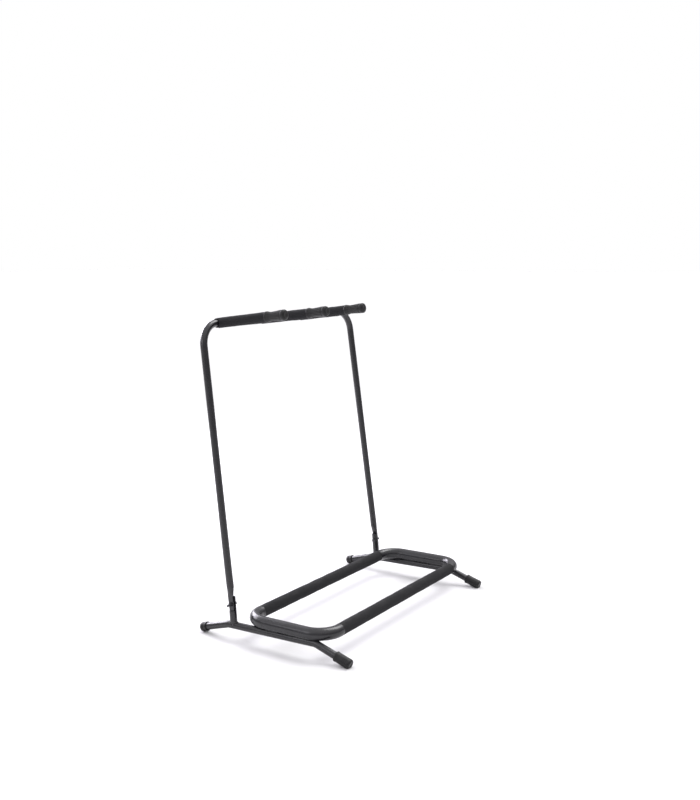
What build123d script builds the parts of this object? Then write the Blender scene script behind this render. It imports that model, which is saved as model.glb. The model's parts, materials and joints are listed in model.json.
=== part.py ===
"""Folding three-place guitar rack: tube feet, padded cradle and a hinged neck frame with padded pegs."""
from build123d import *
import math
import os

os.makedirs("parts", exist_ok=True)

# The frame: X runs along the row of instruments, -Y is the front that the player reaches from,
# +Z is up, and the origin is on the floor under the middle of the rack. Left is -X, right is +X.
SIDES = {"left": -1, "right": 1}

# Overall sizes
half_width = 297.0              # middle of the rack to the axis of each foot and hinge
top_half_width = 287.0          # the uprights close in slightly towards the top
front_reach = 178.0             # origin to the middle of a front foot cap
rear_reach = 188.0              # origin to the middle of a rear foot cap
frame_rise = 607.0              # hinge pin to the axis of the top bar, along the upright
lean_angle = 7.25               # backward lean of the neck frame, degrees

# Foot tubes
foot_tube_radius = 8.0
foot_wall = 1.5
foot_height = 34.3              # floor to the axis of the raised middle, at the front bend
rear_bend_height = 30.7         # the middle drops slightly towards the rear bend
front_bend_y = -110.0
rear_bend_y = 120.0
foot_bend_radius = 30.0

# Rubber foot caps: the front ones are long sleeves, the rear ones short
front_cap_radius = 11.25
front_cap_length = 38.0
front_cap_height = 12.0         # floor to the middle of the cap
rear_cap_radius = 10.4
rear_cap_length = 18.0
rear_cap_height = 11.5
front_cap_end_wall = 12.0       # rubber beyond the end of the tube
rear_cap_end_wall = 5.0
cap_corner = 4.0

# Cradle: two bent end tubes, each leg drawn down to a spigot that carries the end of a padded rail
end_tube_radius = 13.5
end_wall = 2.4
cradle_bend_radius = 48.0
front_rail_y = -136.0
rear_rail_y = 70.0
seat_depth = 3.4                # how far each end tube sinks into the saddle pressed in its foot
leg_length = 3.0                # end of the bend to the shoulder where a rail and its foam stop
spigot_length = 26.0
spigot_clearance = 0.1
rail_radius = 11.0
rail_wall = 1.5
rail_foam_radius = 13.4

# Countersunk rail screws, driven up through the underside of each rail before the foam slides over
screw_radius = 1.8
screw_length = 7.0
screw_head_radius = 3.4
screw_head_depth = 1.6
screw_sink = 0.6                # lowest line of the rail to the face of a screw
screw_inset = 13.0              # shoulder to the axis of a screw

# Hinges: the pressed tongue of each upright laps the outer side of a stub on the foot
pivot_y = 109.0
pivot_height = 78.0
stub_wall = 1.5
stub_lean_angle = 4.5           # the stubs stand a little straighter than the frame
ear_rise = 16.0                 # hinge pin to the top of the stub's ear
tongue_thickness = 4.5
tongue_width = 12.0
tongue_drop = 14.0              # hinge pin to the bottom of the tongue
tongue_top = 18.0               # hinge pin to where the tongue starts to widen
press_top = 38.0                # hinge pin to where the tube is round again
kink_rise = 60.0                # hinge pin to where the uprights start to close in
hinge_gap = 0.3                 # free play on each face of the tongue

# Hinge hardware
pin_radius = 2.5
pin_clearance = 0.05
hex_across_flats = 8.0
head_height = 2.5
nut_height = 4.0
pin_end = 7.0                   # threads that show past the nut
washer_radius = 5.0
washer_thickness = 1.0
spacer_radius = 4.0

# Neck frame
frame_tube_radius = 8.0
frame_wall = 1.2
frame_bend_radius = 48.0
bar_foam_radius = 10.5

# Neck pegs, square to the leaning frame, each between two necks
peg_spacing = 153.5
peg_places = {"left": -1.5, "middle": -0.5, "right": 0.5}
peg_radius = 6.0
peg_wall = 1.2
peg_foam_radius = 11.5
peg_foam_end = 132.0            # axis of the top bar to the end of the foam
peg_length = 177.0
peg_cap_end = 183.0
cap_collar_radius = 12.1
cap_collar_length = 4.0
cap_waist_radius = 10.0
cap_waist_at = 13.0             # end of the foam to the narrowest place
cap_flare_radius = 11.6
cap_flare_at = 33.0             # end of the foam to the start of the flared end
cap_round = 4.0

lean = math.radians(lean_angle)
up_frame = Vector(0, math.sin(lean), math.cos(lean))
stub_lean = math.radians(stub_lean_angle)
up_stub = Vector(0, math.sin(stub_lean), math.cos(stub_lean))
frame_plane = Plane(origin=(0, pivot_y, pivot_height), x_dir=(1, 0, 0),
                    z_dir=(0, -math.cos(lean), math.sin(lean)))
cradle_height = foot_height + foot_tube_radius + end_tube_radius - seat_depth
bend_start_x = half_width - cradle_bend_radius
leg_end_x = bend_start_x - leg_length
spigot_radius = rail_radius - rail_wall - spigot_clearance
screw_x = leg_end_x - screw_inset
foam_half_length = top_half_width - frame_bend_radius


def hinge_plane(side):
    """Plane square to an upright at its hinge pin: local z runs up the tube, local y to the back."""
    return Plane(origin=(side * half_width, pivot_y, pivot_height), x_dir=(1, 0, 0), z_dir=up_frame)


def stub_plane(side, rise):
    """Plane square to a hinge stub, `rise` above the hinge pin along the stub."""
    place = Vector(side * half_width, pivot_y, pivot_height) + up_stub * rise
    return Plane(origin=place, x_dir=(1, 0, 0), z_dir=up_stub)


def pin_plane(side, outward):
    """Plane square to a hinge pin, `outward` from the upright's axis; local y runs up the tube."""
    base = hinge_plane(side)
    place = base.origin + Vector(side * outward, 0, 0)
    return Plane(origin=place, x_dir=base.y_dir * side, z_dir=(side, 0, 0))


def tube_end(path):
    """Plane square to the start of a path."""
    return Plane(origin=path @ 0, z_dir=path % 0)


# Feet ------------------------------------------------------------------------------------------
def leg_direction(bend_y, bend_height, reach, height):
    """Unit vector down a leg, from its bend towards the middle of its cap."""
    end_y = math.copysign(reach, bend_y)
    return Vector(0, end_y - bend_y, height - bend_height).normalized()


front_leg = leg_direction(front_bend_y, foot_height, front_reach, front_cap_height)
rear_leg = leg_direction(rear_bend_y, rear_bend_height, rear_reach, rear_cap_height)


def cap_middle(side, reach, height):
    """Middle of a foot cap; reach is negative at the front."""
    return Vector(side * half_width, reach, height)


def cap_shape(side, reach, height, leg, radius, length, end_wall):
    """A rubber cap on the end of a leg, flat where it rests on the floor."""
    start = cap_middle(side, reach, height) - leg * (length / 2)
    open_end = Plane(origin=start, x_dir=(1, 0, 0), z_dir=leg)
    with BuildPart() as cap:
        with BuildSketch(open_end):
            Circle(radius)
        extrude(amount=length)
        fillet(cap.edges().sort_by(Axis(start, leg))[-1], cap_corner)
        with BuildSketch(open_end):
            Circle(foot_tube_radius)
        extrude(amount=length - end_wall, mode=Mode.SUBTRACT)
        split(bisect_by=Plane.XY, keep=Keep.TOP)
    return cap


# Rail screws: one near each end of the two rails, heads down, sunk flush in the underside
with BuildPart() as rail_screws:
    screw_faces = Plane.XY.offset(cradle_height - rail_radius + screw_sink)
    screw_places = [(x, y) for x in (-screw_x, screw_x) for y in (front_rail_y, rear_rail_y)]
    with BuildSketch(screw_faces):
        with Locations(*screw_places):
            Circle(screw_radius)
    extrude(amount=screw_length)
    for screw_place in screw_places:
        with BuildSketch(screw_faces):
            with Locations(screw_place):
                Circle(screw_head_radius)
        with BuildSketch(screw_faces.offset(screw_head_depth)):
            with Locations(screw_place):
                Circle(screw_radius)
        loft()
rail_screws.part.label = "rail_screws"
export_step(rail_screws.part, "parts/rail_screws.step")

for name, side in SIDES.items():
    front_tip = cap_middle(side, -front_reach, front_cap_height) \
        + front_leg * (front_cap_length / 2 - front_cap_end_wall)
    rear_tip = cap_middle(side, rear_reach, rear_cap_height) \
        + rear_leg * (rear_cap_length / 2 - rear_cap_end_wall)
    front_bend = Vector(side * half_width, front_bend_y, foot_height)
    rear_bend = Vector(side * half_width, rear_bend_y, rear_bend_height)

    # Cradle end: the bent tube that lies along the foot, its two legs and spigots pointing inwards
    with BuildPart() as cradle_end:
        with BuildLine(Plane.XY.offset(cradle_height)):
            end_path = FilletPolyline(
                (side * leg_end_x, rear_rail_y), (side * half_width, rear_rail_y),
                (side * half_width, front_rail_y), (side * leg_end_x, front_rail_y),
                radius=cradle_bend_radius)
        with BuildSketch(tube_end(end_path)):
            Circle(end_tube_radius)
            Circle(end_tube_radius - end_wall, mode=Mode.SUBTRACT)
        sweep()
        for rail_y in (front_rail_y, rear_rail_y):
            shoulder = Plane(origin=(side * leg_end_x, rail_y, cradle_height),
                             x_dir=(0, 1, 0), z_dir=(-side, 0, 0))
            with BuildSketch(shoulder):
                Circle(end_tube_radius)
                Circle(spigot_radius - end_wall, mode=Mode.SUBTRACT)
            extrude(amount=-end_wall)
            with BuildSketch(shoulder):
                Circle(spigot_radius)
                Circle(spigot_radius - end_wall, mode=Mode.SUBTRACT)
            extrude(amount=spigot_length)
        add(rail_screws.part, mode=Mode.SUBTRACT)
    cradle_end.part.label = f"cradle_end_{name}"
    export_step(cradle_end.part, f"parts/cradle_end_{name}.step")

    # Outer skins of the cradle end, used to press the saddle into the foot
    with BuildPart() as end_skin:
        with BuildSketch(tube_end(end_path)):
            Circle(end_tube_radius)
        sweep(path=end_path)
    with BuildPart() as saddle_skin:
        with BuildSketch(tube_end(end_path)):
            Circle(end_tube_radius + foot_wall)
        sweep(path=end_path)

    # Foot: an arched tube whose raised middle is pressed into a saddle under the cradle end
    with BuildPart() as foot_solid:
        with BuildLine():
            foot_path = FilletPolyline(rear_tip, rear_bend, front_bend, front_tip,
                                       radius=foot_bend_radius)
        with BuildSketch(tube_end(foot_path)):
            Circle(foot_tube_radius)
        sweep()
    saddle = foot_solid.part & saddle_skin.part
    with BuildPart() as foot_tube:
        with BuildSketch(tube_end(foot_path)):
            Circle(foot_tube_radius)
            Circle(foot_tube_radius - foot_wall, mode=Mode.SUBTRACT)
        sweep(path=foot_path)
        add(saddle)
        add(end_skin.part, mode=Mode.SUBTRACT)
    foot_tube.part.label = f"foot_tube_{name}"
    export_step(foot_tube.part, f"parts/foot_tube_{name}.step")

    front_cap = cap_shape(side, -front_reach, front_cap_height, front_leg,
                          front_cap_radius, front_cap_length, front_cap_end_wall)
    front_cap.part.label = f"front_foot_cap_{name}"
    export_step(front_cap.part, f"parts/front_foot_cap_{name}.step")

    rear_cap = cap_shape(side, rear_reach, rear_cap_height, rear_leg,
                         rear_cap_radius, rear_cap_length, rear_cap_end_wall)
    rear_cap.part.label = f"rear_foot_cap_{name}"
    export_step(rear_cap.part, f"parts/rear_foot_cap_{name}.step")

    # Hinge stub: a short tube welded on the foot, cut away on its outer side above the shoulder
    stub_length = (pivot_height - rear_bend_height) / math.cos(stub_lean) - foot_tube_radius / 2
    with BuildPart() as hinge_stub:
        with BuildSketch(stub_plane(side, -stub_length)):
            Circle(foot_tube_radius)
            Circle(foot_tube_radius - stub_wall, mode=Mode.SUBTRACT)
        extrude(amount=stub_length + ear_rise)
        with BuildSketch(hinge_plane(side).offset(-tongue_drop - hinge_gap)):
            with Locations((side * foot_tube_radius, 0)):
                Rectangle(2 * foot_tube_radius, 3 * foot_tube_radius)
        extrude(amount=ear_rise + 2 * tongue_drop, mode=Mode.SUBTRACT)
        with BuildSketch(pin_plane(side, -2 * foot_tube_radius)):
            Circle(pin_radius)
        extrude(amount=2 * foot_tube_radius, mode=Mode.SUBTRACT)
        add(foot_solid.part, mode=Mode.SUBTRACT)
    hinge_stub.part.label = f"hinge_stub_{name}"
    export_step(hinge_stub.part, f"parts/hinge_stub_{name}.step")

    # Spacer: stops the bolt from crushing the open half of the stub
    with BuildPart() as pivot_spacer:
        with BuildSketch(pin_plane(side, -foot_tube_radius)):
            Circle(spacer_radius)
            Circle(pin_radius, mode=Mode.SUBTRACT)
        extrude(amount=foot_tube_radius)
        with BuildSketch(stub_plane(side, -foot_tube_radius)):
            Circle(foot_tube_radius - stub_wall)
        extrude(amount=2 * foot_tube_radius, mode=Mode.INTERSECT)
    pivot_spacer.part.label = f"pivot_spacer_{name}"
    export_step(pivot_spacer.part, f"parts/pivot_spacer_{name}.step")

    washer_at = hinge_gap + tongue_thickness + hinge_gap
    nut_at = washer_at + washer_thickness
    with BuildPart() as pivot_bolt:
        with BuildSketch(pin_plane(side, -foot_tube_radius - head_height)):
            RegularPolygon(hex_across_flats / 2, 6, major_radius=False)
        extrude(amount=head_height)
        with BuildSketch(pin_plane(side, -foot_tube_radius)):
            Circle(pin_radius)
        extrude(amount=foot_tube_radius + nut_at + nut_height + pin_end)
    pivot_bolt.part.label = f"pivot_bolt_{name}"
    export_step(pivot_bolt.part, f"parts/pivot_bolt_{name}.step")

    with BuildPart() as pivot_washer:
        with BuildSketch(pin_plane(side, washer_at)):
            Circle(washer_radius)
            Circle(pin_radius, mode=Mode.SUBTRACT)
        extrude(amount=washer_thickness)
    pivot_washer.part.label = f"pivot_washer_{name}"
    export_step(pivot_washer.part, f"parts/pivot_washer_{name}.step")

    with BuildPart() as pivot_nut:
        with BuildSketch(pin_plane(side, nut_at)):
            RegularPolygon(hex_across_flats / 2, 6, major_radius=False)
            Circle(pin_radius, mode=Mode.SUBTRACT)
        extrude(amount=nut_height)
    pivot_nut.part.label = f"pivot_nut_{name}"
    export_step(pivot_nut.part, f"parts/pivot_nut_{name}.step")

# Rails -----------------------------------------------------------------------------------------
for name, rail_y in {"front": front_rail_y, "rear": rear_rail_y}.items():
    rail_plane = Plane(origin=(0, rail_y, cradle_height), x_dir=(0, 1, 0), z_dir=(1, 0, 0))
    with BuildPart() as rail:
        with BuildSketch(rail_plane):
            Circle(rail_radius)
            Circle(rail_radius - rail_wall, mode=Mode.SUBTRACT)
        extrude(amount=leg_end_x, both=True)
        with BuildSketch(Plane.XY.offset(cradle_height - rail_radius)):
            with Locations((-screw_x, rail_y), (screw_x, rail_y)):
                Circle(screw_head_radius)
        extrude(amount=screw_sink, mode=Mode.SUBTRACT)
        add(rail_screws.part, mode=Mode.SUBTRACT)
    rail.part.label = f"{name}_rail"
    export_step(rail.part, f"parts/{name}_rail.step")

    with BuildPart() as rail_foam:
        with BuildSketch(rail_plane):
            Circle(rail_foam_radius)
            Circle(rail_radius, mode=Mode.SUBTRACT)
        extrude(amount=leg_end_x, both=True)
    rail_foam.part.label = f"{name}_rail_foam"
    export_step(rail_foam.part, f"parts/{name}_rail_foam.step")

# Neck frame ------------------------------------------------------------------------------------
with BuildPart() as neck_frame:
    with BuildLine(frame_plane):
        frame_path = FilletPolyline(
            (-half_width, press_top), (-half_width, kink_rise), (-top_half_width, frame_rise),
            (top_half_width, frame_rise), (half_width, kink_rise), (half_width, press_top),
            radius=frame_bend_radius)
    with BuildSketch(tube_end(frame_path)):
        Circle(frame_tube_radius)
        Circle(frame_tube_radius - frame_wall, mode=Mode.SUBTRACT)
    sweep()
    for side in SIDES.values():
        # The tube is pressed flat towards its outer side, and the tongue is drilled for the pin
        with BuildSketch(hinge_plane(side).offset(press_top)):
            Circle(frame_tube_radius)
        with BuildSketch(hinge_plane(side).offset(tongue_top)):
            with Locations((side * (hinge_gap + tongue_thickness / 2), 0)):
                Rectangle(tongue_thickness, tongue_width)
        loft()
        with BuildSketch(pin_plane(side, hinge_gap)):
            with BuildLine():
                back = side * tongue_width / 2
                corner_rise = math.sqrt(tongue_drop ** 2 - (tongue_width / 2) ** 2)
                Line((back, tongue_top), (back, -tongue_drop))
                Line((back, -tongue_drop), (0, -tongue_drop))
                RadiusArc((0, -tongue_drop), (-back, -corner_rise), side * tongue_drop)
                Line((-back, -corner_rise), (-back, tongue_top))
                Line((-back, tongue_top), (back, tongue_top))
            make_face()
            Circle(pin_radius + pin_clearance, mode=Mode.SUBTRACT)
        extrude(amount=tongue_thickness)
neck_frame.part.label = "neck_frame_tube"
export_step(neck_frame.part, "parts/neck_frame_tube.step")

bar_plane = Plane(origin=frame_plane.from_local_coords((0, frame_rise, 0)), x_dir=up_frame, z_dir=(1, 0, 0))
with BuildPart() as bar_solid:
    with BuildSketch(bar_plane):
        Circle(frame_tube_radius)
    extrude(amount=foam_half_length, both=True)
with BuildPart() as bar_foam:
    with BuildSketch(bar_plane):
        Circle(bar_foam_radius)
        Circle(frame_tube_radius, mode=Mode.SUBTRACT)
    extrude(amount=foam_half_length, both=True)
    with BuildSketch(frame_plane):
        with Locations(*[(place * peg_spacing, frame_rise) for place in peg_places.values()]):
            Circle(peg_radius)
    extrude(amount=2 * bar_foam_radius, mode=Mode.SUBTRACT)
bar_foam.part.label = "top_bar_foam"
export_step(bar_foam.part, "parts/top_bar_foam.step")

# Neck pegs -------------------------------------------------------------------------------------
for name, place in peg_places.items():
    peg_x = place * peg_spacing
    with BuildPart() as neck_peg:
        with BuildSketch(frame_plane):
            with Locations((peg_x, frame_rise)):
                Circle(peg_radius)
                Circle(peg_radius - peg_wall, mode=Mode.SUBTRACT)
        extrude(amount=peg_length)
        add(bar_solid.part, mode=Mode.SUBTRACT)
    neck_peg.part.label = f"neck_peg_{name}"
    export_step(neck_peg.part, f"parts/neck_peg_{name}.step")

    with BuildPart() as peg_foam:
        with BuildSketch(frame_plane):
            with Locations((peg_x, frame_rise)):
                Circle(peg_foam_radius)
                Circle(peg_radius, mode=Mode.SUBTRACT)
        extrude(amount=peg_foam_end)
        with BuildSketch(bar_plane):
            Circle(bar_foam_radius)
        extrude(amount=half_width, both=True, mode=Mode.SUBTRACT)
    peg_foam.part.label = f"peg_foam_{name}"
    export_step(peg_foam.part, f"parts/peg_foam_{name}.step")

    # Rubber end cap: a collar against the foam, a slim waist and a flared, rounded end
    peg_root = frame_plane.from_local_coords((peg_x, frame_rise, 0))
    with BuildPart() as peg_cap:
        with BuildSketch(Plane(origin=peg_root, x_dir=frame_plane.z_dir, z_dir=(1, 0, 0))):
            with BuildLine():
                Line((peg_foam_end, peg_radius), (peg_foam_end, cap_collar_radius))
                Line((peg_foam_end, cap_collar_radius),
                     (peg_foam_end + cap_collar_length, cap_collar_radius))
                Spline((peg_foam_end + cap_collar_length, cap_collar_radius),
                       (peg_foam_end + cap_waist_at, cap_waist_radius),
                       (peg_foam_end + cap_flare_at, cap_flare_radius))
                Line((peg_foam_end + cap_flare_at, cap_flare_radius),
                     (peg_cap_end - cap_round, cap_flare_radius))
                RadiusArc((peg_cap_end - cap_round, cap_flare_radius),
                          (peg_cap_end, cap_flare_radius - cap_round), cap_round)
                Line((peg_cap_end, cap_flare_radius - cap_round), (peg_cap_end, 0))
                Line((peg_cap_end, 0), (peg_length, 0))
                Line((peg_length, 0), (peg_length, peg_radius))
                Line((peg_length, peg_radius), (peg_foam_end, peg_radius))
            make_face()
        revolve(axis=Axis(peg_root, frame_plane.z_dir))
    peg_cap.part.label = f"peg_cap_{name}"
    export_step(peg_cap.part, f"parts/peg_cap_{name}.step")
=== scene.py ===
import json
import math
import bmesh
import bpy
from mathutils import Matrix, Vector, noise


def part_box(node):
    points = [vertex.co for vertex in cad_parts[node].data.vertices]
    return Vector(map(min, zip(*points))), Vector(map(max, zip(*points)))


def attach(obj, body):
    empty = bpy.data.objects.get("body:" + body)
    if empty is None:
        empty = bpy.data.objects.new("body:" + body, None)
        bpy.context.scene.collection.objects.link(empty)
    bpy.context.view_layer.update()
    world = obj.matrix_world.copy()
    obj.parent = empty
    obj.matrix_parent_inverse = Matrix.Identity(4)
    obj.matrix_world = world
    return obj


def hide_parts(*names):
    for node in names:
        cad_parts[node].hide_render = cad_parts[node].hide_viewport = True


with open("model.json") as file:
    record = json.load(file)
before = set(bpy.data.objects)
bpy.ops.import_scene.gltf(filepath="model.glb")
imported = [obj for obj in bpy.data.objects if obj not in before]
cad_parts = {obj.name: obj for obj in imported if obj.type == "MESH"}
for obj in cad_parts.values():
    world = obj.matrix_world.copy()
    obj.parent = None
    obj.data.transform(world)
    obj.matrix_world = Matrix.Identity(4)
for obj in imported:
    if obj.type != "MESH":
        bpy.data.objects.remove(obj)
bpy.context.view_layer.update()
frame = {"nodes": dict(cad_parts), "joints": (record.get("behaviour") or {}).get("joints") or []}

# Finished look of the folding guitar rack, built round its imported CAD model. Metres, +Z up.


# FEET --------------------------------------------------------------------------------------------
# Two arched feet of 16 mm steel tube, bent down at both ends, with the middle pressed into a long
# saddle. All the steel is welded up first and then powder coated in semi-gloss black, which leaves
# a faint orange peel, and takes a little dust on top and a few scuffs from handling.

cad = frame["nodes"]


def place(tree, kind, feeds=None, **options):
    """Adds a node to a tree, sets its options, and feeds its sockets values or other sockets."""
    added = tree.nodes.new(kind)
    for option, choice in options.items():
        setattr(added, option, choice)
    for socket, feed in (feeds or {}).items():
        if isinstance(feed, bpy.types.NodeSocket):
            tree.links.new(feed, added.inputs[socket])
        else:
            added.inputs[socket].default_value = feed
    return added.outputs


def shader_group(name, inputs, outputs):
    """An empty shader node group with named sockets."""
    group = bpy.data.node_groups.new(name, "ShaderNodeTree")
    for label, kind, start_value in inputs:
        socket = group.interface.new_socket(label, in_out="INPUT", socket_type="NodeSocket" + kind)
        socket.default_value = start_value
    for label, kind in outputs:
        group.interface.new_socket(label, in_out="OUTPUT", socket_type="NodeSocket" + kind)
    given = group.nodes.new("NodeGroupInput").outputs
    result = group.nodes.new("NodeGroupOutput").inputs
    return group, given, result


def mottle_group():
    """Slow patches of tone and sheen with a fine grain over them, as every finish here has."""
    group, given, result = shader_group(
        "mottled_finish",
        [("Colour", "Color", (0.02, 0.02, 0.02, 1)), ("Patches per Metre", "Float", 25.0),
         ("Tone Spread", "Float", 0.3), ("Roughness", "Float", 0.4), ("Sheen Spread", "Float", 0.1),
         ("Grains per Metre", "Float", 900.0)],
        [("Colour", "Color"), ("Roughness", "Float"), ("Height", "Float")])
    where = place(group, "ShaderNodeTexCoord")["Object"]
    patches = place(group, "ShaderNodeTexNoise",
                    {"Vector": where, "Scale": given["Patches per Metre"], "Detail": 5.0})["Fac"]
    grain = place(group, "ShaderNodeTexNoise",
                  {"Vector": where, "Scale": given["Grains per Metre"], "Detail": 2.0})["Fac"]
    shift = place(group, "ShaderNodeMath", {0: patches, 1: 0.5}, operation="SUBTRACT")[0]
    tone = place(group, "ShaderNodeMath",
                 {0: shift, 1: given["Tone Spread"], 2: 1.0}, operation="MULTIPLY_ADD")[0]
    colour = place(group, "ShaderNodeVectorMath",
                   {0: given["Colour"], "Scale": tone}, operation="SCALE")[0]
    rough = place(group, "ShaderNodeMath",
                  {0: shift, 1: given["Sheen Spread"], 2: given["Roughness"]},
                  operation="MULTIPLY_ADD", use_clamp=True)[0]
    group.links.new(colour, result["Colour"])
    group.links.new(rough, result["Roughness"])
    group.links.new(grain, result["Height"])
    return group


def dust_group():
    """Dust that has settled in patches on whatever faces up."""
    group, given, result = shader_group(
        "settled_dust",
        [("Colour", "Color", (0.02, 0.02, 0.02, 1)), ("Roughness", "Float", 0.4),
         ("Dust Colour", "Color", (0.16, 0.15, 0.14, 1)), ("Amount", "Float", 0.1)],
        [("Colour", "Color"), ("Roughness", "Float")])
    facing = place(group, "ShaderNodeNewGeometry")["Normal"]
    upward = place(group, "ShaderNodeSeparateXYZ", {0: facing})["Z"]
    lying = place(group, "ShaderNodeMapRange",
                  {"Value": upward, "From Min": 0.35, "From Max": 1.0},
                  interpolation_type="SMOOTHSTEP")[0]
    where = place(group, "ShaderNodeTexCoord")["Object"]
    cloud = place(group, "ShaderNodeTexNoise",
                  {"Vector": where, "Scale": 38.0, "Detail": 8.0, "Roughness": 0.68})["Fac"]
    drift = place(group, "ShaderNodeMapRange",
                  {"Value": cloud, "From Min": 0.38, "From Max": 0.72})[0]
    share = place(group, "ShaderNodeMath", {0: lying, 1: drift}, operation="MULTIPLY")[0]
    amount = place(group, "ShaderNodeMath", {0: share, 1: given["Amount"]}, operation="MULTIPLY")[0]
    blend = group.nodes.new("ShaderNodeMix")
    blend.data_type = "RGBA"
    group.links.new(amount, blend.inputs["Factor"])
    group.links.new(given["Colour"], blend.inputs["A"])
    group.links.new(given["Dust Colour"], blend.inputs["B"])
    rough = place(group, "ShaderNodeMath",
                  {0: amount, 1: 0.5, 2: given["Roughness"]},
                  operation="MULTIPLY_ADD", use_clamp=True)[0]
    group.links.new(blend.outputs["Result"], result["Colour"])
    group.links.new(rough, result["Roughness"])
    return group


def scuff_group():
    """Sparse short scuffs, which show lighter and duller than the finish round them."""
    group, given, result = shader_group(
        "handling_scuffs",
        [("Colour", "Color", (0.02, 0.02, 0.02, 1)), ("Roughness", "Float", 0.4),
         ("Scuff Colour", "Color", (0.08, 0.08, 0.085, 1)), ("Amount", "Float", 0.5)],
        [("Colour", "Color"), ("Roughness", "Float"), ("Mask", "Float")])
    where = place(group, "ShaderNodeTexCoord")["Object"]
    turned = place(group, "ShaderNodeMapping",
                   {"Vector": where, "Rotation": (0.6, 0.5, 0.9), "Scale": (60.0, 420.0, 900.0)})[0]
    strokes = place(group, "ShaderNodeTexNoise",
                    {"Vector": turned, "Scale": 1.0, "Detail": 3.0})["Fac"]
    region = place(group, "ShaderNodeTexNoise",
                   {"Vector": where, "Scale": 17.0, "Detail": 2.0})["Fac"]
    sharp = place(group, "ShaderNodeMapRange",
                  {"Value": strokes, "From Min": 0.67, "From Max": 0.74})[0]
    local = place(group, "ShaderNodeMapRange",
                  {"Value": region, "From Min": 0.52, "From Max": 0.68})[0]
    both = place(group, "ShaderNodeMath", {0: sharp, 1: local}, operation="MULTIPLY")[0]
    mask = place(group, "ShaderNodeMath",
                 {0: both, 1: given["Amount"]}, operation="MULTIPLY", use_clamp=True)[0]
    blend = group.nodes.new("ShaderNodeMix")
    blend.data_type = "RGBA"
    group.links.new(mask, blend.inputs["Factor"])
    group.links.new(given["Colour"], blend.inputs["A"])
    group.links.new(given["Scuff Colour"], blend.inputs["B"])
    rough = place(group, "ShaderNodeMath",
                  {0: mask, 1: 0.25, 2: given["Roughness"]},
                  operation="MULTIPLY_ADD", use_clamp=True)[0]
    group.links.new(blend.outputs["Result"], result["Colour"])
    group.links.new(rough, result["Roughness"])
    group.links.new(mask, result["Mask"])
    return group


mottled_finish = mottle_group()
settled_dust = dust_group()
handling_scuffs = scuff_group()


def finish_material(name, mottle, scuff, dust, bump):
    """A material with mottle, scuffs and dust in turn, and a bump from the mottle's grain. Returns
    the material, its shader and its mottle node."""
    material = bpy.data.materials.new(name)
    material.use_nodes = True
    tree = material.node_tree
    shader = tree.nodes["Principled BSDF"]
    layers = []
    for group, values in ((mottled_finish, mottle), (handling_scuffs, scuff), (settled_dust, dust)):
        layer = tree.nodes.new("ShaderNodeGroup")
        layer.node_tree = group
        for label, value in values.items():
            layer.inputs[label].default_value = value
        if layers:
            tree.links.new(layers[-1].outputs["Colour"], layer.inputs["Colour"])
            tree.links.new(layers[-1].outputs["Roughness"], layer.inputs["Roughness"])
        layers.append(layer)
    tree.links.new(layers[-1].outputs["Colour"], shader.inputs["Base Color"])
    tree.links.new(layers[-1].outputs["Roughness"], shader.inputs["Roughness"])
    relief = tree.nodes.new("ShaderNodeBump")
    relief.inputs["Strength"].default_value = bump["strength"]
    relief.inputs["Distance"].default_value = bump["depth"]
    tree.links.new(layers[0].outputs["Height"], relief.inputs["Height"])
    tree.links.new(relief.outputs["Normal"], shader.inputs["Normal"])
    return material, shader, layers[0]


black_powder_coat, coat_shader, _ = finish_material(
    "black_powder_coat",
    mottle={"Colour": (0.0085, 0.0083, 0.0105, 1), "Patches per Metre": 30.0, "Tone Spread": 0.5,
            "Roughness": 0.27, "Sheen Spread": 0.16, "Grains per Metre": 1100.0},
    scuff={"Scuff Colour": (0.05, 0.05, 0.056, 1), "Amount": 0.5},
    dust={"Dust Colour": (0.15, 0.145, 0.155, 1), "Amount": 0.07},
    bump={"strength": 0.2, "depth": 0.00012})
coat_shader.inputs["Specular IOR Level"].default_value = 0.6


def coated(*names):
    """Gives CAD nodes the black powder coat."""
    for node_name in names:
        node = cad[node_name]
        node.data.materials.clear()
        node.data.materials.append(black_powder_coat)


coated("foot_tube_left", "foot_tube_right")


# FOOT CAPS ---------------------------------------------------------------------------------------
# Moulded black rubber sleeves pushed over the ends of the feet. Each has a rolled rim at its mouth,
# shallow grip rings and a rounded end, and is cut flat where it stands on the floor. The front ones
# are long, the rear ones short.

SIDES = {"left": -1, "right": 1}
seam_spread = 0.05              # how wide a mould's parting line is, as the sine of its angle


def turned(name, loop, start, direction, segments, ripple=None, seam=0.0):
    """A solid turned round an axis: loop is its closed outline as (along, radius), in metres. A
    ripple changes the radius by angle, and a seam raises a parting line on both sides."""
    direction = direction.normalized()
    side = Vector((1, 0, 0)) if abs(direction.x) < 0.5 else Vector((0, 1, 0))
    up = direction.cross(side).normalized()
    mesh = bmesh.new()
    rings = []
    for along, radius in loop:
        ring = []
        for step in range(segments):
            angle = 2 * math.pi * step / segments
            r = radius if ripple is None else ripple(along, radius, angle)
            if seam and radius > 0:
                r += seam * math.exp(-(math.sin(angle) / seam_spread) ** 2)
            ring.append(mesh.verts.new(start + direction * along
                                       + (side * math.cos(angle) + up * math.sin(angle)) * r))
        rings.append(ring)
    for ring, following in zip(rings, rings[1:] + rings[:1]):
        for step in range(segments):
            after = (step + 1) % segments
            mesh.faces.new((ring[step], ring[after], following[after], following[step]))
    bmesh.ops.remove_doubles(mesh, verts=mesh.verts, dist=1e-6)
    bmesh.ops.recalc_face_normals(mesh, faces=mesh.faces)
    return finished_mesh(name, mesh)


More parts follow.
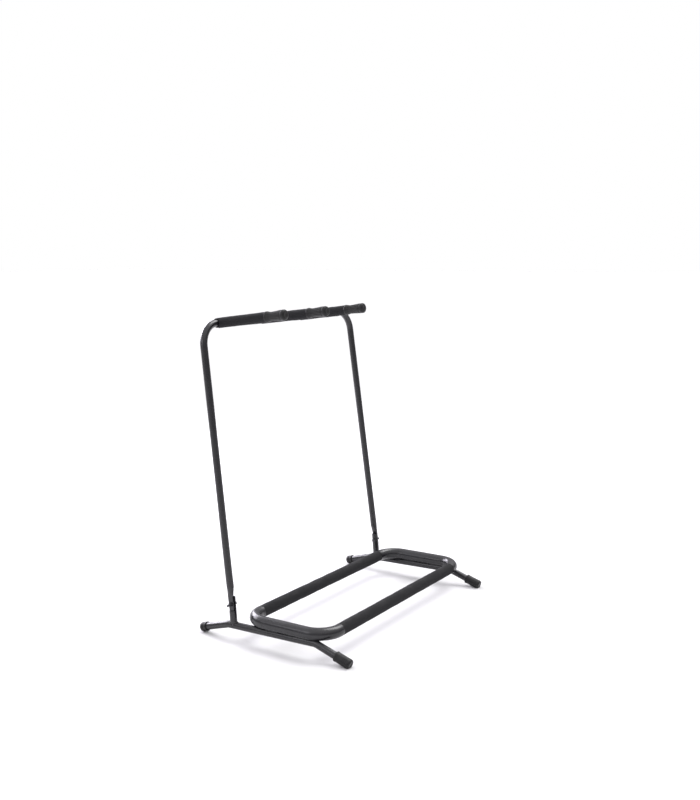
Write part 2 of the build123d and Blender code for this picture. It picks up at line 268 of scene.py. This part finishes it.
def finished_mesh(name, mesh, crease=32.0):
    """Keeps a bmesh as an object, smooth except along edges sharper than the crease angle."""
    for face in mesh.faces:
        face.smooth = True
    for edge in mesh.edges:
        edge.smooth = len(edge.link_faces) == 2 and edge.calc_face_angle(0) < math.radians(crease)
    data = bpy.data.meshes.new(name)
    mesh.to_mesh(data)
    mesh.free()
    piece = bpy.data.objects.new(name, data)
    bpy.context.scene.collection.objects.link(piece)
    return piece


def cut_flat(piece, height):
    """Cuts a closed mesh level at a height and closes the cut."""
    mesh = bmesh.new()
    mesh.from_mesh(piece.data)
    cut = bmesh.ops.bisect_plane(mesh, geom=mesh.verts[:] + mesh.edges[:] + mesh.faces[:],
                                 plane_co=(0, 0, height), plane_no=(0, 0, -1), clear_outer=True)
    rim = [part for part in cut["geom_cut"] if isinstance(part, bmesh.types.BMEdge)]
    closed = bmesh.ops.holes_fill(mesh, edges=rim, sides=0)
    for face in closed["faces"]:
        face.smooth = False
        for edge in face.edges:
            edge.smooth = False
    bmesh.ops.recalc_face_normals(mesh, faces=mesh.faces)
    mesh.to_mesh(piece.data)
    mesh.free()


def dressed(piece, material, slot_name, body, *stands_for):
    """Gives a piece its material, its body and the CAD nodes it stands for, which it hides. The
    slot_name argument is not used.
    """
    piece.data.materials.clear()
    piece.data.materials.append(material)
    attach(piece, body)
    if stands_for:
        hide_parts(*stands_for)
    return piece


black_rubber, rubber_shader, _ = finish_material(
    "black_rubber",
    mottle={"Colour": (0.0095, 0.0095, 0.0100, 1), "Patches per Metre": 60.0, "Tone Spread": 0.5,
            "Roughness": 0.42, "Sheen Spread": 0.2, "Grains per Metre": 1600.0},
    scuff={"Scuff Colour": (0.05, 0.049, 0.048, 1), "Amount": 0.7},
    dust={"Dust Colour": (0.12, 0.117, 0.115, 1), "Amount": 0.06},
    bump={"strength": 0.4, "depth": 0.00010})
rubber_shader.inputs["Specular IOR Level"].default_value = 0.32

cap_bore = 0.0081
cap_spokes = 72
cap_seam = 0.00012
front_cap_loop = [
    (0.0002, 0.00975), (0.0000, 0.01030), (0.0004, 0.01095), (0.0012, 0.01125), (0.0032, 0.01125),
    (0.0042, 0.01090), (0.0048, 0.01062), (0.0090, 0.01066), (0.0150, 0.01076), (0.0210, 0.01088),
    (0.0214, 0.01056), (0.0222, 0.01050), (0.0226, 0.01092), (0.0246, 0.01096), (0.0250, 0.01062),
    (0.0258, 0.01056), (0.0262, 0.01100), (0.0282, 0.01106), (0.0286, 0.01072), (0.0294, 0.01066),
    (0.0298, 0.01112), (0.0330, 0.01122), (0.0346, 0.01112), (0.0360, 0.01052), (0.0371, 0.00950),
    (0.0377, 0.00820), (0.0379, 0.00640), (0.0376, 0.00560), (0.0374, 0.00300), (0.0374, 0.0),
    (0.0262, 0.0), (0.0262, cap_bore), (0.0100, cap_bore), (0.0008, cap_bore), (0.0003, 0.0086)]
rear_cap_loop = [
    (0.0002, 0.00900), (0.0000, 0.00950), (0.0004, 0.01010), (0.0012, 0.01040), (0.0034, 0.01040),
    (0.0044, 0.01010), (0.0050, 0.00968), (0.0072, 0.00964), (0.0080, 0.00990), (0.0090, 0.01026),
    (0.0128, 0.01036), (0.0146, 0.01020), (0.0160, 0.00960), (0.0171, 0.00860), (0.0177, 0.00730),
    (0.0179, 0.00600), (0.0176, 0.00520), (0.0174, 0.00300), (0.0174, 0.0),
    (0.0132, 0.0), (0.0132, cap_bore), (0.0060, cap_bore), (0.0008, cap_bore), (0.0003, 0.0086)]
foot_ends = {
    "front": {"loop": front_cap_loop, "length": 0.038,
              "middle": (-0.178, 0.0120), "bend": (-0.110, 0.0343)},
    "rear": {"loop": rear_cap_loop, "length": 0.018,
             "middle": (0.188, 0.0115), "bend": (0.120, 0.0307)}}
for end, cap in foot_ends.items():
    for side_name in SIDES:
        node_name = f"{end}_foot_cap_{side_name}"
        low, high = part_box(node_name)
        middle = Vector(((low.x + high.x) / 2, *cap["middle"]))
        leg = (middle - Vector((middle.x, *cap["bend"]))).normalized()
        rubber_cap = turned(f"{end}_rubber_cap_{side_name}", cap["loop"],
                            middle - leg * cap["length"] / 2, leg, cap_spokes, seam=cap_seam)
        cut_flat(rubber_cap, 0.0)
        dressed(rubber_cap, black_rubber, "black_rubber", "base", node_name)


# CRADLE ENDS -------------------------------------------------------------------------------------
# A thicker 27 mm tube bent to a U lies in the saddle of each foot, its two legs pointing inwards.
# Stitches of weld on both sides of the saddle join the two tubes, and a weld runs round the bottom
# of each hinge stub. The coat covers the welds, so only their ripples show.

coated("cradle_end_left", "cradle_end_right")


def geometry_tree(name, inputs):
    """An empty geometry node tree that takes a shape and gives a shape, with named sizes."""
    tree = bpy.data.node_groups.new(name, "GeometryNodeTree")
    tree.interface.new_socket("Geometry", in_out="INPUT", socket_type="NodeSocketGeometry")
    for label, kind, start_value in inputs:
        socket = tree.interface.new_socket(label, in_out="INPUT", socket_type="NodeSocket" + kind)
        if start_value is not None:
            socket.default_value = start_value
    tree.interface.new_socket("Geometry", in_out="OUTPUT", socket_type="NodeSocketGeometry")
    return tree, tree.nodes.new("NodeGroupInput").outputs, tree.nodes.new("NodeGroupOutput").inputs


def grown(name, source, tree, sizes):
    """Runs a geometry tree on a source object and keeps what it makes as a plain mesh."""
    modifier = source.modifiers.new(tree.name, "NODES")
    modifier.node_group = tree
    for item in tree.interface.items_tree:
        if item.item_type == "SOCKET" and item.in_out == "INPUT" and item.name in sizes:
            modifier[item.identifier] = sizes[item.name]
    depsgraph = bpy.context.evaluated_depsgraph_get()
    data = bpy.data.meshes.new_from_object(source.evaluated_get(depsgraph))
    data.name = name
    piece = bpy.data.objects.new(name, data)
    bpy.context.scene.collection.objects.link(piece)
    bpy.data.objects.remove(source)
    return piece


def weld_tree():
    """A bead of overlapping ripples along a line, each a little different from the next."""
    tree, given, result = geometry_tree(
        "weld_bead",
        [("Bead Radius", "Float", 0.0016), ("Ripple Pitch", "Float", 0.0009), ("Seed", "Int", 3)])
    line = place(tree, "GeometryNodeMeshToCurve", {"Mesh": given["Geometry"]})["Curve"]
    spaced = place(tree, "GeometryNodeResampleCurve",
                   {"Curve": line, "Length": given["Ripple Pitch"]}, mode="LENGTH")["Curve"]
    tangent = place(tree, "GeometryNodeInputTangent")["Tangent"]
    turn = place(tree, "FunctionNodeAlignRotationToVector",
                 {"Vector": tangent}, axis="Z")["Rotation"]
    drop = place(tree, "GeometryNodeMeshUVSphere",
                 {"Segments": 12, "Rings": 7, "Radius": given["Bead Radius"]})["Mesh"]
    size = place(tree, "FunctionNodeRandomValue",
                 {2: 0.86, 3: 1.06, "Seed": given["Seed"]}, data_type="FLOAT")[1]
    ripples = place(tree, "GeometryNodeInstanceOnPoints",
                    {"Points": spaced, "Instance": drop, "Rotation": turn,
                     "Scale": size})["Instances"]
    solid = place(tree, "GeometryNodeRealizeInstances", {"Geometry": ripples})["Geometry"]
    smooth = place(tree, "GeometryNodeSetShadeSmooth", {0: solid})[0]
    painted = place(tree, "GeometryNodeSetMaterial",
                    {"Geometry": smooth, "Material": black_powder_coat})["Geometry"]
    tree.links.new(painted, result["Geometry"])
    return tree


weld_bead = weld_tree()
pivot = Vector(frame["joints"][0]["pos_m"])
stub_lean = math.radians(4.5)
up_stub = Vector((0, math.sin(stub_lean), math.cos(stub_lean)))
back_stub = Vector((0, math.cos(stub_lean), -math.sin(stub_lean)))
foot_radius = 0.008
foot_front, foot_rear = (Vector((0, *foot_ends[end]["bend"])) for end in ("front", "rear"))
foot_along = (foot_rear - foot_front).normalized()
foot_above = Vector((0, -foot_along.z, foot_along.y))
end_low, end_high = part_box("cradle_end_left")
end_tube_radius = (end_high.z - end_low.z) / 2
end_height = (end_high.z + end_low.z) / 2
bead_radius = 0.0015
stitches = ((-0.088, -0.060), (-0.012, 0.016))      # where each saddle weld starts and ends, in Y
ring_steps, stitch_steps = 64, 8


def stub_weld_line(x):
    """Where the leaning hinge stub meets the top of the foot, as a closed ring of points."""
    ring = []
    for step in range(ring_steps + 1):
        angle = 2 * math.pi * step / ring_steps
        start = Vector((x, pivot.y, pivot.z)) + foot_radius * (Vector((math.cos(angle), 0, 0))
                                                               + back_stub * math.sin(angle))
        rise = foot_radius * abs(math.sin(angle)) - (start - foot_front).dot(foot_above)
        ring.append(start + up_stub * (rise / up_stub.dot(foot_above)))
    return ring


def saddle_weld_line(x, side, from_y, to_y):
    """Where one side of the cradle end leaves the saddle of its foot."""
    line = []
    for step in range(stitch_steps + 1):
        y = from_y + (to_y - from_y) * step / stitch_steps
        foot_z = foot_front.z + (y - foot_front.y) * foot_along.z / foot_along.y
        gap = end_height - foot_z
        down = (gap ** 2 + end_tube_radius ** 2 - foot_radius ** 2) / (2 * gap)
        out = math.sqrt(end_tube_radius ** 2 - down ** 2)
        line.append(Vector((x + side * out, y, end_height - down)))
    return line


for side_name, side in SIDES.items():
    low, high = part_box(f"foot_tube_{side_name}")
    foot_x = (low.x + high.x) / 2
    runs = [stub_weld_line(foot_x)]
    for face in (-1, 1):
        runs += [saddle_weld_line(foot_x, face, *stitch) for stitch in stitches]
    points, edges = [], []
    for run in runs:
        edges += [(len(points) + step, len(points) + step + 1) for step in range(len(run) - 1)]
        points += [tuple(point) for point in run]
    data = bpy.data.meshes.new("weld_lines")
    data.from_pydata(points, edges, [])
    source = bpy.data.objects.new("weld_lines", data)
    bpy.context.scene.collection.objects.link(source)
    welds = grown(f"welds_{side_name}", source, weld_bead,
                  {"Bead Radius": bead_radius, "Seed": 5 + side})
    dressed(welds, black_powder_coat, "black_paint", "base")


# HINGES ------------------------------------------------------------------------------------------
# Each upright's lower end is pressed flat and laps the cut-away half of a stub welded on the foot.
# A 5 mm hex bolt, black zinc plated, goes through both from the inside, with a spacer in the hollow
# of the stub, a washer and lock nut on the outside, and a good length of thread left showing.

coated("hinge_stub_left", "hinge_stub_right")

black_zinc, zinc_shader, _ = finish_material(
    "black_zinc",
    mottle={"Colour": (0.060, 0.060, 0.066, 1), "Patches per Metre": 160.0, "Tone Spread": 0.7,
            "Roughness": 0.36, "Sheen Spread": 0.25, "Grains per Metre": 2600.0},
    scuff={"Scuff Colour": (0.32, 0.31, 0.30, 1), "Amount": 0.9},
    dust={"Dust Colour": (0.13, 0.12, 0.11, 1), "Amount": 0.12},
    bump={"strength": 0.3, "depth": 0.00006})
zinc_shader.inputs["Metallic"].default_value = 0.85

hex_half = 0.004                # half the distance across the flats
hex_corner = hex_half / math.cos(math.pi / 6)
pin_radius = 0.0025
thread_pitch = 0.0008
thread_depth = 0.00035
turned_edge = 0.0037            # shapes wider than this are cut to a hexagon
head_height = 0.0025
thread_length = 0.014
outline_step = 0.0001           # spacing of the outline's points along the thread
hinge_spokes = 72


def hex_outline(along, radius, angle):
    """Outline of a bolt head or nut: hexagonal where the turned radius reaches its flats."""
    nearest = (angle + math.pi / 6) % (math.pi / 3) - math.pi / 6
    return min(hex_half / math.cos(nearest), radius) if radius > turned_edge else radius


def bolt_outline(thread_from):
    """Outline of a hex bolt whose shank has a rolled thread from thread_from to its end."""
    def outline(along, radius, angle):
        if radius > turned_edge or along < thread_from or radius < 0.96 * pin_radius:
            return hex_outline(along, radius, angle)
        turn = (along / thread_pitch + angle / (2 * math.pi)) % 1.0
        return radius - thread_depth * abs(2 * turn - 1)
    return outline


def on_pin(node_name, side):
    """A fastener's inner face on the hinge line, its length along it, and its outer radius."""
    low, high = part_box(node_name)
    inner = Vector((low.x if side > 0 else high.x, pivot.y, pivot.z))
    return inner, high.x - low.x, (high.y - low.y) / 2


for side_name, side in SIDES.items():
    outward = Vector((side, 0, 0))
    inner, bolt_length, _ = on_pin(f"pivot_bolt_{side_name}", side)
    steps = int((bolt_length - head_height - 0.0006) / outline_step)
    bolt_loop = [(0.0003, 0.0), (0.0003, 0.0030), (0.0, 0.0034), (0.0, 0.0036),
                 (0.00005, 0.0038), (0.00025, 0.0042), (0.00050, 0.0045), (0.00070, hex_corner),
                 (head_height - 0.0002, hex_corner), (head_height, 0.00455), (head_height, 0.0029)]
    bolt_loop += [(head_height + outline_step * step, pin_radius) for step in range(steps)]
    bolt_loop += [(bolt_length - 0.0004, 0.00235), (bolt_length, 0.0019), (bolt_length, 0.0)]
    bolt = turned(f"hinge_bolt_{side_name}", bolt_loop, inner, outward, hinge_spokes,
                  ripple=bolt_outline(bolt_length - thread_length))
    dressed(bolt, black_zinc, "black_zinc", "base", f"pivot_bolt_{side_name}")

    inner, nut, _ = on_pin(f"pivot_nut_{side_name}", side)
    nut_loop = [(0.0, 0.0026), (0.0, 0.0036), (0.00005, 0.0038), (0.0003, 0.0043),
                (0.0006, hex_corner), (nut - 0.0017, hex_corner), (nut - 0.0014, 0.00450),
                (nut - 0.0011, 0.0040),
                (nut - 0.0010, 0.00366), (nut - 0.0003, 0.00360), (nut - 0.0001, 0.0035),
                (nut, 0.0033), (nut, 0.0029), (nut - 0.0003, 0.0027), (nut - 0.0008, 0.0026)]
    lock_nut = turned(f"lock_nut_{side_name}", nut_loop, inner, outward, hinge_spokes,
                      ripple=hex_outline)
    dressed(lock_nut, black_zinc, "black_zinc", "base", f"pivot_nut_{side_name}")

    inner, thick, rim = on_pin(f"pivot_washer_{side_name}", side)
    washer_loop = [(0.0, 0.00255), (0.0, rim - 0.0003), (0.00012, rim - 0.00008), (0.0003, rim),
                   (thick - 0.0003, rim), (thick - 0.00012, rim - 0.00008), (thick, rim - 0.0003),
                   (thick, 0.0029), (thick - 0.0002, 0.00255)]
    washer = turned(f"hinge_washer_{side_name}", washer_loop, inner, outward, hinge_spokes)
    dressed(washer, black_zinc, "black_zinc", "base", f"pivot_washer_{side_name}")

    spacer = cad[f"pivot_spacer_{side_name}"]
    spacer.data.materials.clear()
    spacer.data.materials.append(black_zinc)


# RAILS AND THEIR SCREWS --------------------------------------------------------------------------
# Two steel rails push over the spigots of the cradle ends, up to the shoulder. One countersunk
# screw with a cross recess holds each end from below, sunk so that the foam lies flat over it.

coated("front_rail", "rear_rail")

screw_low, screw_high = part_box("rail_screws")
screw_head_radius, screw_head_depth = 0.0034, 0.0016
screw_radius, screw_length = 0.0018, 0.0070
recess_arm, recess_width, recess_depth = 0.0017, 0.00042, 0.0011
thread_step, thread_bite = 0.0003, 0.0003


def countersunk_screw():
    """One screw standing head down at the origin: flat head, cross recess, cone and thread."""
    mesh = bmesh.new()
    spokes, steps = 48, 12
    outline = [(screw_head_radius * step / steps, 0.0) for step in range(1, steps + 1)]
    outline += [(screw_head_radius, 0.0002), (screw_radius, screw_head_depth)]
    outline += [(screw_radius - (thread_bite if step % 2 else 0.0),
                 screw_head_depth + thread_step * step) for step in range(1, 16)]
    outline += [(0.0004, screw_length - 0.0001)]
    rings = []
    for radius, z in outline:
        ring = []
        for spoke in range(spokes):
            angle = 2 * math.pi * spoke / spokes
            x, y = radius * math.cos(angle), radius * math.sin(angle)
            reach = max(abs(x), abs(y)) / recess_arm
            in_cross = z == 0.0 and min(abs(x), abs(y)) < recess_width and reach < 1
            ring.append(mesh.verts.new((x, y, recess_depth * (1 - reach ** 4) if in_cross else z)))
        rings.append(ring)
    recess_floor = mesh.verts.new((0, 0, recess_depth))
    point = mesh.verts.new((0, 0, screw_length))
    for spoke in range(spokes):
        after = (spoke + 1) % spokes
        mesh.faces.new((recess_floor, rings[0][after], rings[0][spoke]))
        mesh.faces.new((point, rings[-1][spoke], rings[-1][after]))
        for ring, following in zip(rings, rings[1:]):
            mesh.faces.new((ring[spoke], ring[after], following[after], following[spoke]))
    bmesh.ops.recalc_face_normals(mesh, faces=mesh.faces)
    return finished_mesh("countersunk_screw", mesh, crease=40.0)


def screw_tree():
    """A screw at each point of a mesh, each turned its own way."""
    tree, given, result = geometry_tree(
        "driven_screws", [("Screw", "Object", None), ("Seed", "Int", 11)])
    screw = place(tree, "GeometryNodeObjectInfo", {"Object": given["Screw"]})["Geometry"]
    angle = place(tree, "FunctionNodeRandomValue",
                  {2: 0.0, 3: math.pi, "Seed": given["Seed"]}, data_type="FLOAT")[1]
    turn = place(tree, "ShaderNodeCombineXYZ", {"Z": angle})[0]
    points = place(tree, "GeometryNodeMeshToPoints", {"Mesh": given["Geometry"]})["Points"]
    driven = place(tree, "GeometryNodeInstanceOnPoints",
                   {"Points": points, "Instance": screw, "Rotation": turn})["Instances"]
    solid = place(tree, "GeometryNodeRealizeInstances", {"Geometry": driven})["Geometry"]
    plated = place(tree, "GeometryNodeSetMaterial",
                   {"Geometry": solid, "Material": black_zinc})["Geometry"]
    tree.links.new(plated, result["Geometry"])
    return tree


screw = countersunk_screw()
data = bpy.data.meshes.new("screw_places")
screw_spots = [(x, y, screw_low.z)
               for x in (screw_low.x + screw_head_radius, screw_high.x - screw_head_radius)
               for y in (screw_low.y + screw_head_radius, screw_high.y - screw_head_radius)]
data.from_pydata(screw_spots, [], [])
source = bpy.data.objects.new("screw_places", data)
bpy.context.scene.collection.objects.link(source)
rail_screws = grown("cross_head_screws", source, screw_tree(), {"Screw": screw})
bpy.data.objects.remove(screw)
dressed(rail_screws, black_zinc, "black_zinc", "base", "rail_screws")


# RAIL FOAM ---------------------------------------------------------------------------------------
# Long sleeves of black closed-cell foam, slid onto the two rails before the cradle is put together,
# so that an instrument's edge rests on foam only. The skin is matt and slightly uneven, with pores.

foam_rubber, foam_shader, foam_mottle = finish_material(
    "foam_rubber",
    mottle={"Colour": (0.0135, 0.0135, 0.0150, 1), "Patches per Metre": 45.0, "Tone Spread": 0.7,
            "Roughness": 0.88, "Sheen Spread": 0.2, "Grains per Metre": 700.0},
    scuff={"Scuff Colour": (0.05, 0.05, 0.052, 1), "Amount": 0.35},
    dust={"Dust Colour": (0.13, 0.125, 0.125, 1), "Amount": 0.16},
    bump={"strength": 0.6, "depth": 0.00025})
foam_shader.inputs["Specular IOR Level"].default_value = 0.28
foam_tree = foam_rubber.node_tree
pore_space = place(foam_tree, "ShaderNodeTexCoord")["Object"]
pores = place(foam_tree, "ShaderNodeTexVoronoi",
              {"Vector": pore_space, "Scale": 1050.0})["Distance"]
pitted = place(foam_tree, "ShaderNodeMath",
               {0: pores, 1: 0.9, 2: foam_mottle.outputs["Height"]}, operation="MULTIPLY_ADD")[0]
foam_relief = next(node for node in foam_tree.nodes if node.type == "BUMP")
foam_tree.links.new(pitted, foam_relief.inputs["Height"])
rail_foam_bore = 0.0111
foam_spokes = 64
station_pitch = 0.0028          # spacing of the rings along a sleeve
edge_round = 0.0014             # how far a cut end rounds off, over edge_reach
edge_reach = 0.0016


def foam_sleeve(name, start, end, bore, radius, seed, cope=0.0, up=Vector((0, 0, 1))):
    """A foam tube from start to end. With a cope radius, its start is shaped to sit on a round bar
    of that radius which crosses it along X. The skin swells and dips a little, and the ends are
    rounded."""
    direction = (end - start).normalized()
    length = (end - start).length
    side = direction.cross(up).normalized()
    up = side.cross(direction).normalized()
    stations = max(12, int(length / station_pitch))
    angles = [2 * math.pi * spoke / foam_spokes for spoke in range(foam_spokes)]
    drift = Vector((seed * 7.31, seed * 3.17, seed * 1.93))
    mesh = bmesh.new()

    def point(share, angle, r):
        rise = r * math.sin(angle)
        begin = math.sqrt(max(0.0, cope ** 2 - rise ** 2)) if cope else 0.0
        along = begin + (length - begin) * share
        return start + direction * along + side * (r * math.cos(angle)) + up * rise

    def skin(share, angle):
        along = share * length
        spot = Vector((along * 34, math.cos(angle) * 1.3, math.sin(angle) * 1.3)) + drift
        swell = 0.00055 * noise.noise(spot) + 0.00022 * noise.noise(spot * 3.1)
        from_end = min(along if not cope else 1.0, length - along)
        rounding = edge_round * (1 - min(1.0, from_end / edge_reach)) ** 2
        return min(radius + swell - 0.0001, radius + 0.0003) - rounding

    shares = [0.0, 0.0006 / length, 0.0013 / length]
    shares += [0.0022 / length + (1 - 0.0044 / length) * step / stations
               for step in range(stations + 1)]
    shares += [1 - 0.0013 / length, 1 - 0.0006 / length, 1.0]
    outer = [[mesh.verts.new(point(share, angle, skin(share, angle))) for angle in angles]
             for share in shares]
    inner = [[mesh.verts.new(point(share, angle, bore)) for angle in angles]
             for share in shares[::12] + [shares[-1]]]
    rings = outer + inner[::-1]
    for ring, following in zip(rings, rings[1:] + rings[:1]):
        for spoke in range(foam_spokes):
            after = (spoke + 1) % foam_spokes
            mesh.faces.new((ring[spoke], ring[after], following[after], following[spoke]))
    bmesh.ops.remove_doubles(mesh, verts=mesh.verts, dist=1e-7)
    bmesh.ops.recalc_face_normals(mesh, faces=mesh.faces)
    return finished_mesh(name, mesh, crease=50.0)


def along_x(node_name):
    """Ends of a CAD sleeve that lies along X, and its outer radius."""
    low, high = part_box(node_name)
    y, z = (low.y + high.y) / 2, (low.z + high.z) / 2
    return Vector((low.x, y, z)), Vector((high.x, y, z)), (high.y - low.y) / 2


for number, rail in enumerate(("front", "rear")):
    first, last, foam_radius = along_x(f"{rail}_rail_foam")
    sleeve = foam_sleeve(f"{rail}_rail_sleeve", first, last, rail_foam_bore, foam_radius,
                         seed=3 + number)
    dressed(sleeve, foam_rubber, "foam", "base", f"{rail}_rail_foam")


# NECK FRAME --------------------------------------------------------------------------------------
# One length of 16 mm tube, bent to an upright U that leans back from the hinges. Its lower ends are
# pressed flat and drilled for the hinge bolts. Same black coat as the base.

coated("neck_frame_tube")


# TOP BAR FOAM ------------------------------------------------------------------------------------
# A sleeve of the same foam along the top bar between the two bends, so that the backs of the necks
# don't touch steel. The pegs go through it.

bar_foam_bore = 0.0081
first, last, bar_radius = along_x("top_bar_foam")
bar_sleeve = foam_sleeve("top_bar_sleeve", first, last, bar_foam_bore, bar_radius, seed=9)
dressed(bar_sleeve, foam_rubber, "foam", "neck_frame", "top_bar_foam")


# NECK PEGS ---------------------------------------------------------------------------------------
# Three short steel pegs welded square to the top bar, one beside each neck. Each carries a thick
# foam sleeve, coped to the foam of the bar, and a moulded rubber cap pushed on its tip: a collar, a
# fluted waist and a flared round end with a moulded ring.

coated("neck_peg_left", "neck_peg_middle", "neck_peg_right")

lean = math.radians(7.25)
up_frame = Vector((0, math.sin(lean), math.cos(lean)))
peg_out = Vector((0, -math.cos(lean), math.sin(lean)))
frame_rise = 0.607              # hinge pin to the axis of the top bar, along the upright
foam_end = 0.132                # axis of the top bar to the mouth of the cap
peg_foam_bore = 0.0061
collar_radius, waist_radius, flare_radius = 0.0121, 0.0100, 0.0116
flutes, flute_depth = 14, 0.00055
flutes_start, flutes_end = 0.0052, 0.0400
tip_spokes = 112
tip_seam = 0.00008


def flute_ripple(along, radius, angle):
    """Grooves along the waist of the cap, fading out at the collar and before the round end."""
    if radius < 0.0094 or not flutes_start < along < flutes_end:
        return radius
    fade = min(1.0, (along - flutes_start) / 0.004, (flutes_end - along) / 0.006)
    groove = max(0.0, math.cos(flutes * angle)) ** 2
    return radius - flute_depth * fade * groove


cap_loop = [(0.0, 0.0064), (0.0, 0.0118), (0.0004, 0.01205), (0.0011, collar_radius),
            (0.0031, collar_radius), (0.0038, 0.01200), (0.0043, 0.01165), (0.0048, 0.01120)]
for step in range(27):          # down from the collar to the waist in six steps, then out again
    to_waist = 0.0011 * math.cos(math.pi * min(1.0, step / 6) / 2) ** 2
    to_flare = (flare_radius - waist_radius) * (max(0, step - 6) / 20) ** 1.3
    cap_loop.append((flutes_start + 0.0013 * step, waist_radius + to_waist + to_flare))
cap_loop += [(0.0395, 0.01150), (0.0402, 0.01118), (0.0412, 0.01108), (0.0422, 0.01118),
             (0.0429, 0.01150), (0.0440, flare_radius), (0.0468, flare_radius), (0.0481, 0.01138),
             (0.0494, 0.01062), (0.0503, 0.00940), (0.0508, 0.00790), (0.0510, 0.00600),
             (0.0507, 0.00540), (0.0505, 0.0030), (0.0505, 0.0), (0.0450, 0.0),
             (0.0450, peg_foam_bore), (0.0200, peg_foam_bore)]

for number, peg_name in enumerate(("left", "middle", "right")):
    low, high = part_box(f"peg_foam_{peg_name}")
    root = Vector(((low.x + high.x) / 2, pivot.y, pivot.z)) + up_frame * frame_rise
    peg_radius = (high.x - low.x) / 2
    sleeve = foam_sleeve(f"peg_sleeve_{peg_name}", root, root + peg_out * foam_end,
                         peg_foam_bore, peg_radius, seed=20 + number,
                         cope=bar_radius - 0.0002, up=up_frame)
    dressed(sleeve, foam_rubber, "foam", "neck_frame", f"peg_foam_{peg_name}")
    tip = turned(f"peg_tip_{peg_name}", cap_loop, root + peg_out * foam_end, peg_out, tip_spokes,
                 ripple=flute_ripple, seam=tip_seam)
    dressed(tip, black_rubber, "black_rubber", "neck_frame", f"peg_cap_{peg_name}")


# FLOOR, LIGHT AND CAMERA -------------------------------------------------------------------------
# A plain white floor, a pale sky that is brighter overhead, a soft sun high on the right and two
# large strips of light behind and on the left, which draw the long highlights on the black tube.

floor_mesh = bmesh.new()
bmesh.ops.create_grid(floor_mesh, x_segments=1, y_segments=1, size=40.0)
floor = finished_mesh("floor", floor_mesh)
floor_finish = bpy.data.materials.new("white_floor")
floor_finish.use_nodes = True
floor_shader = floor_finish.node_tree.nodes["Principled BSDF"]
floor_shader.inputs["Base Color"].default_value = (0.73, 0.73, 0.73, 1)
floor_shader.inputs["Roughness"].default_value = 0.9
floor_shader.inputs["Specular IOR Level"].default_value = 0.1
floor.data.materials.append(floor_finish)

sky = bpy.data.worlds.new("studio_sky")
sky.use_nodes = True
sky_tree = sky.node_tree
looking = place(sky_tree, "ShaderNodeTexCoord")["Generated"]
height = place(sky_tree, "ShaderNodeSeparateXYZ", {0: looking})["Z"]
brightness = place(sky_tree, "ShaderNodeMapRange",
                   {"Value": height, "From Min": 0.0, "From Max": 0.9,
                    "To Min": 0.30, "To Max": 1.25},
                   interpolation_type="SMOOTHSTEP")[0]
tint = place(sky_tree, "ShaderNodeVectorMath",
             {0: (0.985, 0.97, 1.0), "Scale": brightness}, operation="SCALE")[0]
seen = place(sky_tree, "ShaderNodeLightPath")["Is Camera Ray"]
backdrop = place(sky_tree, "ShaderNodeBackground", {"Color": (1, 1, 1, 1), "Strength": 1.0})[0]
dome = place(sky_tree, "ShaderNodeBackground", {"Color": tint, "Strength": 1.0})[0]
both = place(sky_tree, "ShaderNodeMixShader", {0: seen, 1: dome, 2: backdrop})[0]
sky_tree.links.new(both, sky_tree.nodes["World Output"].inputs["Surface"])
bpy.context.scene.world = sky


def lamp_at(name, kind, spot, aim, energy, tint=(1, 1, 1), **sizes):
    """A lamp at a spot, aimed at a point, with its size."""
    lamp = bpy.data.lights.new(name, kind)
    lamp.energy = energy
    lamp.color = tint
    for option, choice in sizes.items():
        setattr(lamp, option, choice)
    light = bpy.data.objects.new(name, lamp)
    light.location = spot
    light.rotation_euler = (Vector(aim) - Vector(spot)).to_track_quat("-Z", "Y").to_euler()
    bpy.context.scene.collection.objects.link(light)


lamp_at("soft_sun", "SUN", (1.3, -0.3, 2.0), (0, 0, 0), 1.6, angle=math.radians(36))
lamp_at("strip_behind", "AREA", (0.4, 2.3, 1.25), (0, 0, 0.2), 75, (0.93, 0.90, 1.0),
        shape="RECTANGLE", size=2.2, size_y=0.9)
lamp_at("strip_left", "AREA", (-2.3, 0.9, 1.3), (-0.2, 0, 0.25), 8, (0.95, 0.93, 1.0),
        shape="RECTANGLE", size=1.2, size_y=0.8)

camera = bpy.data.objects.new("camera", bpy.data.cameras.new("camera"))
camera.data.lens = 46.178
camera.data.sensor_width = 36.0
turned_right, tipped_down, rolled = (math.radians(angle) for angle in (57.136, 8.1605, 0.2466))
camera.matrix_world = (Matrix.Translation((-1.9543, -1.2674, 0.8301))
                       @ Matrix.Rotation(-turned_right, 4, "Z")
                       @ Matrix.Rotation(math.pi / 2 - tipped_down, 4, "X")
                       @ Matrix.Rotation(-rolled, 4, "Z"))
bpy.context.scene.collection.objects.link(camera)
bpy.context.scene.camera = camera
bpy.context.scene.view_settings.view_transform = "Standard"
